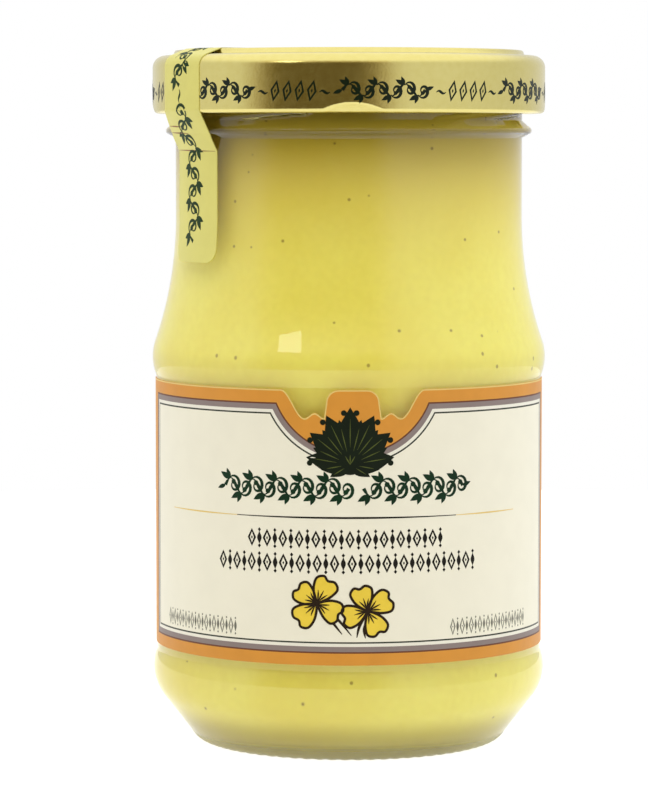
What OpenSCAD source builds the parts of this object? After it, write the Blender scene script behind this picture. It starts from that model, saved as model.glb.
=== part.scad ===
// Mustard jar, full and unopened: clear glass jar, smooth mustard, twist-off
// metal lid with four pressed lugs, paper wrap label with a shaped top edge, and
// a paper seal strip that runs from the lid over its side and down the glass.
// Millimetres, +Z up. Origin: middle of the ring the jar stands on.
// The label's middle faces -Y; angles round the jar are counted from there,
// positive towards +X.

/* [Glass body] */
// Widest part of the glass, at the heel and at the shoulder
body_d = 61.5; // [58:0.1:64]
// Height at which the heel is widest
heel_z = 11.7; // [9.5:0.1:12]
// Roundness of the heel in side view
heel_round = 7.3; // [6.4:0.1:8]
// Turn of the heel's arc before the straight slope to the foot, degrees
heel_turn = 38; // [34:1:44]
// Rounding where the slope meets the foot
foot_round = 3; // [1.6:0.1:3.4]
// Rounding from the ring the jar stands on into the hollow under the base
foot_inner = 1; // [0.6:0.1:1.4]
// Flat width of the ring the jar stands on
foot_flat = 1; // [0.6:0.1:2]
// Height of the hollow under the base, at the middle
push_up = 2.6; // [1:0.1:3.2]
// Depth of the recess that guards the label, each side
recess = 0.57; // [0.3:0.01:1]
// Height from the widest part of the heel to the widest part of the shoulder
panel_h = 48.66; // [36:0.02:60]
// Roundness of the shoulder bulge in side view
shoulder_round = 7.7; // [6:0.1:10]
// Lean of the shoulder where the bulge turns into the long hollow curve, degrees
shoulder_turn = 19; // [16:0.5:22]

/* [Glass neck] */
// How much the neck is narrower than the body, each side
neck_in = 3.7; // [2.5:0.1:5]
// Height from the widest part of the shoulder to the bead
neck_h = 35.2; // [28:0.1:44]
// How far the carrying bead stands out from the neck
bead_out = 1.5; // [1:0.05:1.7]
// Height from the bead to the rim of the mouth
finish_h = 12.15; // [11.5:0.05:16]
// Rounding of the bead's edge
bead_round = 0.6; // [0.4:0.05:0.7]
// Length of the bead's sloping upper side
bead_slope = 1.5; // [1:0.1:1.8]
// Rounding of the mouth's rim, inside and outside
rim_round = 0.9; // [0.5:0.05:1.1]
// Thickness of the raised thread runs
thread_d = 1.4; // [1:0.1:1.6]
// Half the angle each thread run covers, degrees
thread_half = 25; // [15:1:30]
// How far the middle of each thread run lies below the lid's hem
thread_low = 0.45; // [0:0.05:0.8]
// Rise of the thread, degrees
thread_tilt = 5; // [3:0.5:6]
// Angle from a lid lug to the middle of the next thread run, degrees
thread_turn = 52; // [35:1:60]

/* [Glass thickness] */
// Wall at the label recess
wall = 2.8; // [2:0.1:3.2]
// Height of the inside floor next to the wall
floor_z = 3.4; // [2.6:0.1:5]
// Extra height of the inside floor at the middle
floor_rise = 2.2; // [0:0.1:3]
// Rounding between the inside floor and the wall
floor_round = 7; // [5:0.1:8]

/* [Mustard] */
// Air left between the mustard's level top and the rim
head_space = 9; // [5:0.05:20]

/* [Lid] */
// Gap between the neck and the inside of the lid's skirt
lid_gap = 3.3; // [2.9:0.05:4.2]
// Gap between the bead and the lid's hem, in height
hem_gap = 2.6; // [2:0.05:3.4]
// Sheet thickness
sheet = 0.25; // [0.18:0.01:0.4]
// Outside rounding of the lid's shoulder
lid_round = 1.9; // [1.4:0.1:2.4]
// How far the raised middle panel reaches past the neck's outside
panel_over = 0.05; // [0:0.05:0.3]
// Height of the step up to the raised panel
panel_step = 0.8; // [0.5:0.05:1.1]
// Radius of the curl that closes the hem
curl = 0.7; // [0.5:0.05:0.9]
// Depth of each pressed lug at the hem
lug_in = 1.3; // [0.8:0.05:1.4]
// Height of each pressed lug above the hem
lug_h = 1.5; // [1.2:0.1:2]
// Roundness of the pressed lugs
lug_round = 20; // [16:1:26]
// Thickness of the folded metal at a lug
lug_metal = 0.65; // [0.4:0.05:0.7]

/* [Label] */
// Thickness of the paper label
label_t = 0.12; // [0.1:0.01:0.3]
// Gap between the label and the lower end of its recess
label_low = 1.15; // [0.1:0.05:6]
// Gap between the label and the upper end of its recess
label_high = 0.4; // [0.1:0.05:6]
// Angle the label covers round the jar, degrees
label_wrap = 344; // [200:1:352]
// Length of the dip's curved side, from the straight edge to the low point
dip_side = 3.76; // [2:0.1:7]
// Length from the low point to the foot of the middle tab
dip_floor = 3; // [1.5:0.1:5]
// Depth of the dip
dip_depth = 4.27; // [2:0.01:6]
// Height of the little rise inside each low point
dip_bump = 0.8; // [0:0.1:1.2]
// Half the width of the middle tab near its top, along the paper
tab_half = 3.9; // [3.2:0.05:5]
// How much further out the tab's foot is, each side
tab_flare = 0.34; // [0:0.02:0.8]
// Corner rounding of the middle tab
tab_round = 1.8; // [1:0.1:2]

/* [Seal strip] */
// Width of the seal strip on the glass
seal_w = 12.6; // [8:0.1:16]
// Width of the seal strip on the lid
seal_w_lid = 10.1; // [6:0.1:16]
// Sideways step of the strip's middle from the glass to the lid, towards the label
seal_step = 2.1; // [0:0.1:4]
// Thickness of the strip
seal_t = 0.12; // [0.1:0.01:0.3]
// Angle round the jar of the strip's middle, degrees
seal_at = -62; // [-64:1:-30]
// Height from the bead down to the strip's lower end
seal_drop = 20.1; // [8:0.1:26]
// Length of the strip on the lid's top, in from the panel's edge
seal_top = 13; // [6:0.5:22]
// Corner rounding of the strip's two ends
seal_corner = 2.2; // [0.5:0.1:4]
// Height over which the strip bridges from the bead to the neck
seal_bridge = 2; // [1.2:0.1:4]

/* [Hidden] */
$fn = 64;

body_r = body_d / 2;
neck_r = body_r - neck_in;
glass_r = body_r - recess;
lid_r = neck_r + lid_gap + sheet;
panel_r = neck_r + panel_over;
shoulder_z = heel_z + panel_h;
bead_z = shoulder_z + neck_h;
rim_z = bead_z + finish_h;
lid_top = rim_z + sheet;
hem_z = bead_z + hem_gap;
ledge_z = lid_top - panel_step;
fill_z = rim_z - head_space;
seal_z0 = bead_z - seal_drop;
tab_foot = tab_half + tab_flare;
dip_low = tab_foot + dip_floor;
dip_half = dip_low + dip_side;

// points of an arc in side view: middle, radius, first and last angle, steps
function arc(r, z, q, a0, a1, n) =
    [for (i = [0:n]) let (a = a0 + (a1 - a0) * i / n) [r + q * cos(a), z + q * sin(a)]];
function rev(p) = [for (i = [len(p) - 1:-1:0]) p[i]];
function unit(v) = v / norm(v);

// ---- glass, outside -------------------------------------------------------
heel_c = body_r - heel_round;
foot_c = (cos(heel_turn) * heel_c - sin(heel_turn) * (heel_z - foot_round)
    + heel_round - foot_round) / cos(heel_turn);
foot_in = foot_c - foot_flat;
under_r = foot_in - foot_inner * 0.8;
under_z = foot_inner * 0.4;
recess_turn = acos((heel_round - recess * 0.8) / heel_round);
bulge_c = body_r - shoulder_round;
low_turn = acos((shoulder_round - recess * 0.8) / shoulder_round);
bulge_end = [bulge_c + shoulder_round * cos(shoulder_turn),
    shoulder_z + shoulder_round * sin(shoulder_turn)];
hollow_round = (bulge_end[0] - neck_r) / (1 - cos(shoulder_turn));
hollow_c = neck_r + hollow_round;
hollow_z = bulge_end[1] + hollow_round * sin(shoulder_turn);
bead_c = neck_r + bead_out - bead_round;
bead_lean = 40;

under = [for (i = [12:-1:0]) let (q = i / 12)
    [under_r * q, under_z + (push_up - under_z) * (1 - q * q)]];
foot = arc(foot_in, foot_inner, foot_inner, -127, -90, 4);
heel = concat(
    arc(foot_c, foot_round, foot_round, -90, -heel_turn, 5),
    arc(heel_c, heel_z, heel_round, -heel_turn, recess_turn, 12));
recess_z0 = heel_z + heel_round * sin(recess_turn) + 0.3;
recess_z1 = shoulder_z - shoulder_round * sin(low_turn) - 0.3;
panel = [[glass_r, recess_z0], [glass_r, recess_z1]];
label_z0 = recess_z0 + label_low;
label_z1 = recess_z1 - label_high;
shoulder = concat(
    arc(bulge_c, shoulder_z, shoulder_round, -low_turn, shoulder_turn, 9),
    [for (i = [1:12]) let (a = shoulder_turn * (1 - i / 12))
        [hollow_c - hollow_round * cos(a), hollow_z - hollow_round * sin(a)]]);
bead = concat(
    [[neck_r, bead_z - bead_out * 0.75]],
    arc(bead_c, bead_z, bead_round, -50, bead_lean, 6),
    [[neck_r, bead_z + bead_slope]]);

// ---- glass, inside --------------------------------------------------------
in_r = glass_r - wall;
in_heel_z = floor_z + floor_round;
in_flat = in_r - floor_round;
in_gap = body_r - in_r;
in_bulge = shoulder_round - in_gap;
in_hollow = hollow_round + in_gap;
bore_r = hollow_c - in_hollow;
inside = concat(
    [for (i = [0:9]) let (q = i / 10)
        [in_flat * q, floor_z + floor_rise * (1 + cos(180 * q)) / 2]],
    arc(in_flat, in_heel_z, floor_round, -90, 0, 12),
    arc(bulge_c, shoulder_z, in_bulge, 0, shoulder_turn, 4),
    [for (i = [1:12]) let (a = shoulder_turn * (1 - i / 12))
        [hollow_c - in_hollow * cos(a), hollow_z - in_hollow * sin(a)]]);
rim = concat(
    arc(neck_r - rim_round, rim_z - rim_round, rim_round, 0, 90, 6),
    arc(bore_r + rim_round, rim_z - rim_round, rim_round, 90, 180, 6));

module jar() color([0.85, 0.9, 0.88, 0.5]) {
    rotate_extrude()
        polygon(concat(rev(under), foot, heel, panel, shoulder, bead, rim, rev(inside)));
    // four short thread runs that the lid's lugs hold on to
    for (i = [0:3])
        rotate([0, 0, -90 + thread_turn + 90 * i])
            translate([0, 0, hem_z - thread_low]) rotate([thread_tilt, 0, 0])
                rotate([0, 0, -thread_half]) rotate_extrude(angle = 2 * thread_half)
                    translate([neck_r + 0.2, 0]) circle(r = thread_d / 2);
}

module mustard() color([0.88, 0.83, 0.38])
    rotate_extrude() polygon(concat(inside, [[bore_r, fill_z], [0, fill_z]]));

// ---- lid ------------------------------------------------------------------
// side view of the lid's outside; t = 0 gives the outside, t = sheet the inside
function lid_edge(t) = concat(
    arc(lid_r - lid_round, ledge_z - lid_round, lid_round - t, 0, 90, 8),
    [[panel_r + 0.35, ledge_z - t]],
    [[panel_r + 0.1 - t * 0.7, lid_top - t - 0.2], [panel_r - 0.15 - t * 0.7, lid_top - t]],
    [[0, lid_top - t]]);

// a lug is pressed in by a ball that meets the hem and the skirt at the lug's two ends
lug_span = norm([lug_in, lug_h]);
lug_reach = sqrt(pow(lug_round, 2) - pow(lug_span / 2, 2)) / lug_span;
lug_far = lid_r - lug_in / 2 + lug_reach * lug_h;
lug_sink = lug_reach * lug_in - lug_h / 2;

// t is how much larger the ball is
module lugs(t) {
    for (i = [0:3])
        rotate([0, 0, 90 * i]) translate([0, -lug_far, hem_z - lug_sink])
            sphere(r = lug_round + t);
}

module lid() color([0.78, 0.75, 0.55]) difference() {
    difference() {
        rotate_extrude() polygon(concat(
            [[0, hem_z], [lid_r - curl, hem_z]],
            arc(lid_r - curl, hem_z + curl, curl, -90, 0, 5), lid_edge(0)));
        lugs(0);
    }
    difference() {
        rotate_extrude() polygon(concat(
            [[0, hem_z - 1], [lid_r - curl, hem_z - 1]],
            arc(lid_r - curl, hem_z + curl, curl, 270, 125, 8),
            [[lid_r - sheet, hem_z + 2 * curl + 0.4]], lid_edge(sheet)));
        lugs(lug_metal);
    }
}

// ---- label ----------------------------------------------------------------
// shaped top edge, from the middle outwards: distance along the paper, height
dip = concat(
    arc(tab_half - tab_round, label_z1 - tab_round, tab_round, 90, 0, 6),
    [[tab_foot, label_z1 - dip_depth]],
    [for (i = [1:9]) let (q = i / 10)
        [tab_foot + (dip_low - tab_foot) * q,
            label_z1 - dip_depth + dip_bump * pow(sin(180 * q), 2)]],
    [for (i = [0:10]) let (q = i / 10)
        [dip_low + (dip_half - dip_low) * q,
            label_z1 - dip_depth * (1 + cos(180 * q)) / 2]]);
function on_paper(p, side) = [side * glass_r * sin(p[0] / glass_r * 180 / PI), p[1]];

module label() color([0.9, 0.89, 0.82]) difference() {
    rotate([0, 0, -90 - label_wrap / 2]) rotate_extrude(angle = label_wrap)
        translate([glass_r, label_z0]) square([label_t, label_z1 - label_z0]);
    for (side = [-1, 1])
        rotate([90, 0, 0]) linear_extrude(height = body_r + 5)
            polygon(concat([for (p = dip) on_paper(p, side)],
                [[side * dip_half, label_z1 + 2],
                    [side * (tab_half - tab_round), label_z1 + 2]]));
}

// ---- seal strip -----------------------------------------------------------
// path of the strip's inner face, from the lid's top down to its lower end
corner = [panel_r - 0.15, lid_top];
top_c = [lid_r - lid_round, ledge_z - lid_round];
lay = atan2(corner[1] - top_c[1], corner[0] - top_c[0])
    - acos(lid_round / norm(corner - top_c));
curl_c = [lid_r - curl, hem_z + curl];
under_lid = [bead_c, bead_z] - curl_c;
lean_in = atan2(under_lid[1], under_lid[0])
    + acos((curl - bead_round) / norm(under_lid));
strip = concat(
    [[corner[0] - seal_top, lid_top], corner],
    arc(top_c[0], top_c[1], lid_round, lay, 0, 7),
    arc(curl_c[0], curl_c[1], curl, 0, lean_in, 4),
    arc(bead_c, bead_z, bead_round, lean_in, -50, 3),
    [[neck_r, bead_z - bead_out * 0.75 - seal_bridge]],
    [for (p = rev(shoulder)) if (p[1] > seal_z0 - 8) p]);
last = len(strip) - 1;
function across(i) =
    let (a = strip[max(i - 1, 0)], b = strip[i], c = strip[min(i + 1, last)],
        u = norm(b - a) > 0.001 ? unit(b - a) : unit(c - b),
        v = norm(c - b) > 0.001 ? unit(c - b) : unit(b - a),
        m = unit(u + v), k = 1 / max(m * u, 0.7))
    [-m[1] * k, m[0] * k];
outer_face = [for (i = [0:last]) strip[i] + seal_t * across(i)];

module seal_blank()
    rotate([0, 0, -150]) rotate_extrude(angle = 120)
        polygon(concat(strip, rev(outer_face)));

// seen straight on: sideways place of the strip's two edges against height
seal_side = [for (s = [-1, 1]) [s * seal_w / 2, seal_step + s * seal_w_lid / 2]];
module seal_front() {
    polygon([
        [seal_side[0][0], seal_z0 + seal_corner], [seal_side[1][0], seal_z0 + seal_corner],
        [seal_side[1][0], bead_z - 1], [seal_side[1][1], hem_z + curl],
        [seal_side[1][1], lid_top + 5], [seal_side[0][1], lid_top + 5],
        [seal_side[0][1], hem_z + curl], [seal_side[0][0], bead_z - 1]]);
    translate([-seal_w / 2 + seal_corner, seal_z0])
        square([seal_w - 2 * seal_corner, seal_corner + 1]);
    for (s = [-1, 1])
        translate([s * (seal_w / 2 - seal_corner), seal_z0 + seal_corner])
            circle(r = seal_corner);
}

// seen from above: the strip's rounded end on the lid
seal_in = seal_top - corner[0];
module seal_plan() {
    translate([seal_side[0][0] - 1, -60])
        square([seal_w + seal_step + 4, 60 - corner[0] + 2]);
    translate([seal_side[0][1], -60])
        square([seal_w_lid, 60 + seal_in - seal_corner]);
    translate([seal_side[0][1] + seal_corner, -60])
        square([seal_w_lid - 2 * seal_corner, 60 + seal_in]);
    for (s = [-1, 1])
        translate([seal_step + s * (seal_w_lid / 2 - seal_corner), seal_in - seal_corner])
            circle(r = seal_corner);
}

module seal() color([0.88, 0.86, 0.5]) rotate([0, 0, seal_at])
    intersection() {
        seal_blank();
        rotate([90, 0, 0]) linear_extrude(height = 60) seal_front();
        linear_extrude(height = lid_top + 10) seal_plan();
    }

jar();
mustard();
lid();
label();
seal();
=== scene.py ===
# %% [markdown]
# # A jar of smooth mustard
# The object is a full, unopened jar: a clear glass jar, the mustard in it, a twist-off
# lid of gold-lacquered sheet, a paper label round the body, and a paper seal strip that
# has to be torn before the lid can turn. Each of them becomes one Blender piece, with
# the print of the label, lid and strip as thin pieces of ink on top.
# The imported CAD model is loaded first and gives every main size. Lengths are written in
# millimetres, and MM turns them into the metres that Blender works in.

# %% Load the frame and keep its box
import math

import bpy
import numpy as np
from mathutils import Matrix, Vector


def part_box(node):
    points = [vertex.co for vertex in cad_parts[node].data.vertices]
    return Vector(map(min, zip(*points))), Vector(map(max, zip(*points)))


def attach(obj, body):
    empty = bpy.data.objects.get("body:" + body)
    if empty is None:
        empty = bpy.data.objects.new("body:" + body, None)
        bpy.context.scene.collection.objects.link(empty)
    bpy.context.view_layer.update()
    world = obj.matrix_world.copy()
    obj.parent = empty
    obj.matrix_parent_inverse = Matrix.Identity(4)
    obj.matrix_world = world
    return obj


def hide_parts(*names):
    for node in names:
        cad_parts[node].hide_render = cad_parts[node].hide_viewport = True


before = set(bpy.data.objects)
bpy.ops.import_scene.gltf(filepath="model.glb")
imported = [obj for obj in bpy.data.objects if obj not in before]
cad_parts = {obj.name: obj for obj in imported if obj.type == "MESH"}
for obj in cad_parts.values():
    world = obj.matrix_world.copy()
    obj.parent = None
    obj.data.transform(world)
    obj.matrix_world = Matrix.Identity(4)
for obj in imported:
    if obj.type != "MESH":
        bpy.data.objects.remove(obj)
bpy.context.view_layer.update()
MM = 0.001
print("nodes:", sorted(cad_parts))

# %% [markdown]
# ## Where the camera stands
# A long lens some way off, a little above the lid, looks slightly down. It could aim at
# the middle of the jar, but the jar would then stand off its place in the picture, so the
# small turn and tilt are given. The label's middle faces -Y, and the camera stands
# close to that side.

# %% Camera
EYE_AWAY, EYE_HIGH, EYE_ROUND = 572.1, 95.64, 1.2
LOOK_DOWN, LOOK_ASIDE, LENS = 4.215, -0.812, 164.66


def stand_camera():
    """A camera at its place and angle, made the scene's own."""
    data = bpy.data.cameras.new("camera")
    data.lens, data.sensor_width, data.sensor_fit = LENS, 36.0, "AUTO"
    data.clip_start, data.clip_end = 10 * MM, 20000 * MM
    eye = bpy.data.objects.new("camera", data)
    turn = math.radians(EYE_ROUND)
    eye.location = (-EYE_AWAY * math.sin(turn) * MM, -EYE_AWAY * math.cos(turn) * MM,
                    EYE_HIGH * MM)
    eye.rotation_euler = (math.radians(90 - LOOK_DOWN), 0.0, math.radians(LOOK_ASIDE))
    bpy.context.scene.collection.objects.link(eye)
    bpy.context.scene.camera = eye
    return eye


camera = stand_camera()
print("camera at", [round(v, 3) for v in camera.location])

# %% [markdown]
# ## Sizes of the jar
# The outline of the glass is a chain of arcs: foot, heel, label panel, shoulder bulge,
# long hollow curve, neck, bead and mouth. The main sizes come from the CAD nodes' boxes, so
# the pieces fit the frame without guessing. The small radii are as in the CAD source.

# %% Sizes from the frame
lid_low, lid_high = (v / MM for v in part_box("lid"))
label_low, label_high = (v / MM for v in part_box("label"))
glass_high, paste_high = (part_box(node)[1] / MM for node in ("jar", "mustard"))

BODY_R, RIM_Z = glass_high.x, glass_high.z
LID_R, LID_TOP, HEM_Z = 30.6, lid_high.z, lid_low.z
FILL_Z = paste_high.z
HEEL_Z, HEEL_ROUND, HEEL_TURN = 11.7, 7.3, 38.0
FOOT_ROUND, FOOT_INNER, FOOT_FLAT, PUSH_UP = 3.0, 1.0, 1.0, 2.6
RECESS, SHOULDER_ROUND, SHOULDER_TURN = 0.57, 7.7, 19.0
NECK_R, GLASS_R = BODY_R - 3.7, BODY_R - RECESS
SHOULDER_Z, BEAD_Z = RIM_Z - 47.35, RIM_Z - 12.15
BEAD_OUT, BEAD_ROUND, BEAD_SLOPE, RIM_ROUND = 1.5, 0.6, 1.5, 0.9
WALL, FLOOR_Z, FLOOR_RISE, FLOOR_ROUND = 2.8, 3.4, 2.2, 7.0
print("body radius", round(BODY_R, 2), "rim", round(RIM_Z, 2), "lid", round(LID_TOP, 2))

# %% [markdown]
# ## Outlines drawn from arcs
# `arc` gives points of an arc in side view, and `fine` adds points to long stretches so
# that a later step can bend them, and so that the soft shading of one corner doesn't run
# along a whole straight wall. An outline runs from the axis, up the outside and back down
# the inside to the axis again, so the turned shape is closed.

# %% The glass outline


def arc(r, z, q, a0, a1, n):
    """Points of an arc in side view: middle, radius, first and last angle, steps."""
    turns = [math.radians(a0 + (a1 - a0) * i / n) for i in range(n + 1)]
    return [(r + q * math.cos(a), z + q * math.sin(a)) for a in turns]


def fine(path, longest):
    """The same path with no stretch longer than that."""
    out = [path[0]]
    for a, b in zip(path, path[1:]):
        n = max(1, math.ceil(math.dist(a, b) / longest))
        out += [tuple(a[k] + (b[k] - a[k]) * i / n for k in range(len(a)))
                for i in range(1, n + 1)]
    return out


def turn_of(cosine):
    return math.degrees(math.acos(cosine))


HEEL_C = BODY_R - HEEL_ROUND
heel_cos, heel_sin = (f(math.radians(HEEL_TURN)) for f in (math.cos, math.sin))
FOOT_C = (heel_cos * HEEL_C - heel_sin * (HEEL_Z - FOOT_ROUND)
          + HEEL_ROUND - FOOT_ROUND) / heel_cos
FOOT_IN = FOOT_C - FOOT_FLAT
UNDER_R, UNDER_Z = FOOT_IN - FOOT_INNER * 0.8, FOOT_INNER * 0.4
BULGE_C = BODY_R - SHOULDER_ROUND
heel_up = turn_of((HEEL_ROUND - RECESS * 0.8) / HEEL_ROUND)
bulge_down = turn_of((SHOULDER_ROUND - RECESS * 0.8) / SHOULDER_ROUND)
lean = math.radians(SHOULDER_TURN)
bulge_end = (BULGE_C + SHOULDER_ROUND * math.cos(lean),
             SHOULDER_Z + SHOULDER_ROUND * math.sin(lean))
HOLLOW_R = (bulge_end[0] - NECK_R) / (1 - math.cos(lean))
HOLLOW_C, HOLLOW_Z = NECK_R + HOLLOW_R, bulge_end[1] + HOLLOW_R * math.sin(lean)
IN_R = GLASS_R - WALL
IN_GAP = BODY_R - IN_R
BORE_R = HOLLOW_C - HOLLOW_R - IN_GAP
BEAD_C = NECK_R + BEAD_OUT - BEAD_ROUND
RECESS_LOW = HEEL_Z + HEEL_ROUND * math.sin(math.radians(heel_up)) + 0.3
RECESS_HIGH = SHOULDER_Z - SHOULDER_ROUND * math.sin(math.radians(bulge_down)) - 0.3


def hollow(q, n):
    """The long hollow curve from the bulge up to the neck, on a radius of q."""
    return arc(HOLLOW_C, HOLLOW_Z, q, 180 + SHOULDER_TURN, 180, n)


shoulder = (arc(BULGE_C, SHOULDER_Z, SHOULDER_ROUND, -bulge_down, SHOULDER_TURN, 16)
            + hollow(HOLLOW_R, 24)[1:])
outside = (
    [(UNDER_R * i / 12, UNDER_Z + (PUSH_UP - UNDER_Z) * (1 - (i / 12) ** 2))
     for i in range(13)]
    + arc(FOOT_IN, FOOT_INNER, FOOT_INNER, -127, -90, 5)
    + fine(arc(FOOT_C, FOOT_ROUND, FOOT_ROUND, -90, -HEEL_TURN, 10)
           + arc(HEEL_C, HEEL_Z, HEEL_ROUND, -HEEL_TURN, heel_up, 20), 0.8)
    + [(GLASS_R, RECESS_LOW), (GLASS_R, RECESS_LOW + 0.2), (GLASS_R, RECESS_HIGH - 0.2),
       (GLASS_R, RECESS_HIGH)] + shoulder
    + fine([(NECK_R, HOLLOW_Z + 0.6), (NECK_R, BEAD_Z - BEAD_OUT * 0.75 - 0.15)], 1.5)
    + [(NECK_R, BEAD_Z - BEAD_OUT * 0.75)]
    + arc(BEAD_C, BEAD_Z, BEAD_ROUND, -50, 40, 8)
    + fine([(NECK_R, BEAD_Z + BEAD_SLOPE), (NECK_R, RIM_Z - 6.5)], 0.22)
    + arc(NECK_R - RIM_ROUND, RIM_Z - RIM_ROUND, RIM_ROUND, 0, 90, 6))
inside = (
    [((IN_R - FLOOR_ROUND) * i / 10, FLOOR_Z + FLOOR_RISE
      * (1 + math.cos(math.pi * i / 10)) / 2) for i in range(10)]
    + arc(IN_R - FLOOR_ROUND, FLOOR_Z + FLOOR_ROUND, FLOOR_ROUND, -90, 0, 14)
    + arc(BULGE_C, SHOULDER_Z, SHOULDER_ROUND - IN_GAP, 0, SHOULDER_TURN, 6)
    + hollow(HOLLOW_R + IN_GAP, 16)[1:])
mouth = arc(BORE_R + RIM_ROUND, RIM_Z - RIM_ROUND, RIM_ROUND, 90, 180, 6)
glass_outline = outside + mouth + inside[::-1]
print("glass outline:", len(glass_outline), "points, neck radius", round(NECK_R, 2))

# %% [markdown]
# ## Small helpers for node trees
# Most shapes and every material below are node trees. Wiring nodes line by line is long,
# so a `Wire` stands for one output socket, and arithmetic on wires adds Math nodes. The
# same helper serves Geometry Nodes and shaders, which share those nodes.

# %% Wires and steps


class Wire:
    """One output socket of a tree. Arithmetic on it adds Math nodes to that tree."""

    def __init__(self, socket):
        self.socket, self.nt = socket, socket.id_data

    def math(self, kind, *others):
        node = self.nt.nodes.new("ShaderNodeMath")
        node.operation = kind
        for socket, value in zip(node.inputs, (self, *others)):
            plug(socket, value)
        return Wire(node.outputs[0])

    def __add__(self, other):
        return self.math("ADD", other)

    def __sub__(self, other):
        return self.math("SUBTRACT", other)

    def __mul__(self, other):
        return self.math("MULTIPLY", other)

    def __truediv__(self, other):
        return self.math("DIVIDE", other)

    def ramp(self, start, end):
        """0 before start, 1 after end, smooth between."""
        node = self.nt.nodes.new("ShaderNodeMapRange")
        node.interpolation_type = "SMOOTHSTEP"
        for name, value in (("Value", self), ("From Min", start), ("From Max", end)):
            plug(node.inputs[name], value)
        return Wire(node.outputs[0])


def plug(socket, value):
    """Links a wire to a socket, or sets the socket's own value."""
    if isinstance(value, Wire):
        value.nt.links.new(value.socket, socket)
    else:
        socket.default_value = value


def step(nt, kind, feeds=None, out=0, **settings):
    """Adds a node, feeds its inputs by name or number, and gives one output."""
    node = nt.nodes.new(kind)
    for name, value in settings.items():
        setattr(node, name, value)
    for name, value in (feeds or {}).items():
        plug(node.inputs[name], value)
    return Wire(node.outputs[out])


def parts_of(nt, vector):
    """The x, y and z of a vector, as three wires."""
    node = step(nt, "ShaderNodeSeparateXYZ", {0: vector}).socket.node
    return [Wire(s) for s in node.outputs]


print("wires ready")

# %% [markdown]
# ## Starting, ending and growing a geometry tree
# A geometry tree starts with the incoming mesh and its named sizes, and ends by making any
# instances real and giving each face its material. `moved_to` and `bent_round` move the
# points of a mesh, which is what most of the trees below are for. `grow` sets the sizes by
# the sockets' identifiers, takes the result as a plain mesh and removes the modifier again.

# %% Geometry tree helpers


def new_tree(name, **sizes):
    """A geometry tree with named sizes; gives the tree and its incoming wires."""
    nt = bpy.data.node_groups.new(name, "GeometryNodeTree")
    nt.interface.new_socket("Geometry", in_out="OUTPUT",
                            socket_type="NodeSocketGeometry")
    nt.interface.new_socket("Geometry", in_out="INPUT",
                            socket_type="NodeSocketGeometry")
    for size, kind in sizes.items():
        nt.interface.new_socket(size, in_out="INPUT", socket_type="NodeSocket" + kind)
    start = nt.nodes.new("NodeGroupInput")
    return nt, {s.name: Wire(s) for s in start.outputs if s.name}


def end_tree(nt, flow, materials):
    """Realises instances and sets the materials, by the face number 'ink' if several."""
    flow = step(nt, "GeometryNodeRealizeInstances", {"Geometry": flow})
    ink = None
    if len(materials) > 1:
        ink = step(nt, "GeometryNodeInputNamedAttribute", {"Name": "ink"},
                   data_type="INT")
    for number, material in enumerate(materials):
        feeds = {"Geometry": flow, "Material": material}
        if ink:
            feeds["Selection"] = step(nt, "FunctionNodeCompare", {2: ink, 3: number},
                                      data_type="INT", operation="EQUAL")
        flow = step(nt, "GeometryNodeSetMaterial", feeds)
    plug(nt.nodes.new("NodeGroupOutput").inputs[0], flow)
    return nt


def moved_to(nt, geometry, x, y, z):
    """The geometry with its points at new places."""
    place = step(nt, "ShaderNodeCombineXYZ", {"X": x, "Y": y, "Z": z})
    return step(nt, "GeometryNodeSetPosition", {"Geometry": geometry, "Position": place})


def bent_round(nt, geometry, radius, turn, height):
    """The geometry with its points at a radius and at a turn from -Y towards +X."""
    return moved_to(nt, geometry, radius * turn.math("SINE"),
                    radius * turn.math("COSINE") * -1.0, height)


def new_piece(name, points, faces=()):
    """An object at the origin from points in millimetres."""
    mesh = bpy.data.meshes.new(name)
    mesh.from_pydata([tuple(c * MM for c in p) for p in points], [], list(faces))
    piece = bpy.data.objects.new(name, mesh)
    bpy.context.scene.collection.objects.link(piece)
    return piece


def grow(piece, nt, **sizes):
    """Runs a tree on a piece and keeps the result as the piece's plain mesh."""
    modifier = piece.modifiers.new(nt.name, "NODES")
    modifier.node_group = nt
    for item in nt.interface.items_tree:
        if item.in_out == "INPUT" and item.name in sizes:
            modifier[item.identifier] = sizes[item.name]
    seen = bpy.context.evaluated_depsgraph_get()
    mesh = bpy.data.meshes.new_from_object(
        piece.evaluated_get(seen), preserve_all_data_layers=True, depsgraph=seen)
    piece.modifiers.remove(modifier)
    piece.data = mesh
    mesh.name = piece.name
    return piece


def volume_of(mesh):
    """Signed volume in cubic centimetres: positive when the faces point outwards."""
    mesh.calc_loop_triangles()
    co = np.zeros(len(mesh.vertices) * 3)
    mesh.vertices.foreach_get("co", co)
    tri = np.zeros(len(mesh.loop_triangles) * 3, int)
    mesh.loop_triangles.foreach_get("vertices", tri)
    a, b, c = co.reshape(-1, 3)[tri.reshape(-1, 3)].transpose(1, 0, 2)
    return float(np.einsum("ij,ij->i", a, np.cross(b, c)).sum() / 6e-6)


def face_out(piece):
    """Turns a closed piece's faces outwards, if they point in."""
    if volume_of(piece.data) < 0:
        piece.data.flip_normals()
    return piece


print("tree helpers ready")

# %% [markdown]
# ## Finishes: glass, mustard and gold lacquer
# Every finish starts from a Principled shader with its fixed numbers on its own sockets.
# Noise on object coordinates adds what the real surface has: slow waves in the glass,
# mottling and specks in the mustard, fine orange peel in the lacquer. Glass would throw a
# dark shadow on what is in it, so rays to the lamps and rays that a dull surface scatters
# see it as a clear sheet instead. Its foot is stippled. The mustard has painted shade in
# its colour: it is darker towards the neck, under the lid, and round its bottom edge.

# %% Helpers for finishes


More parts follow.
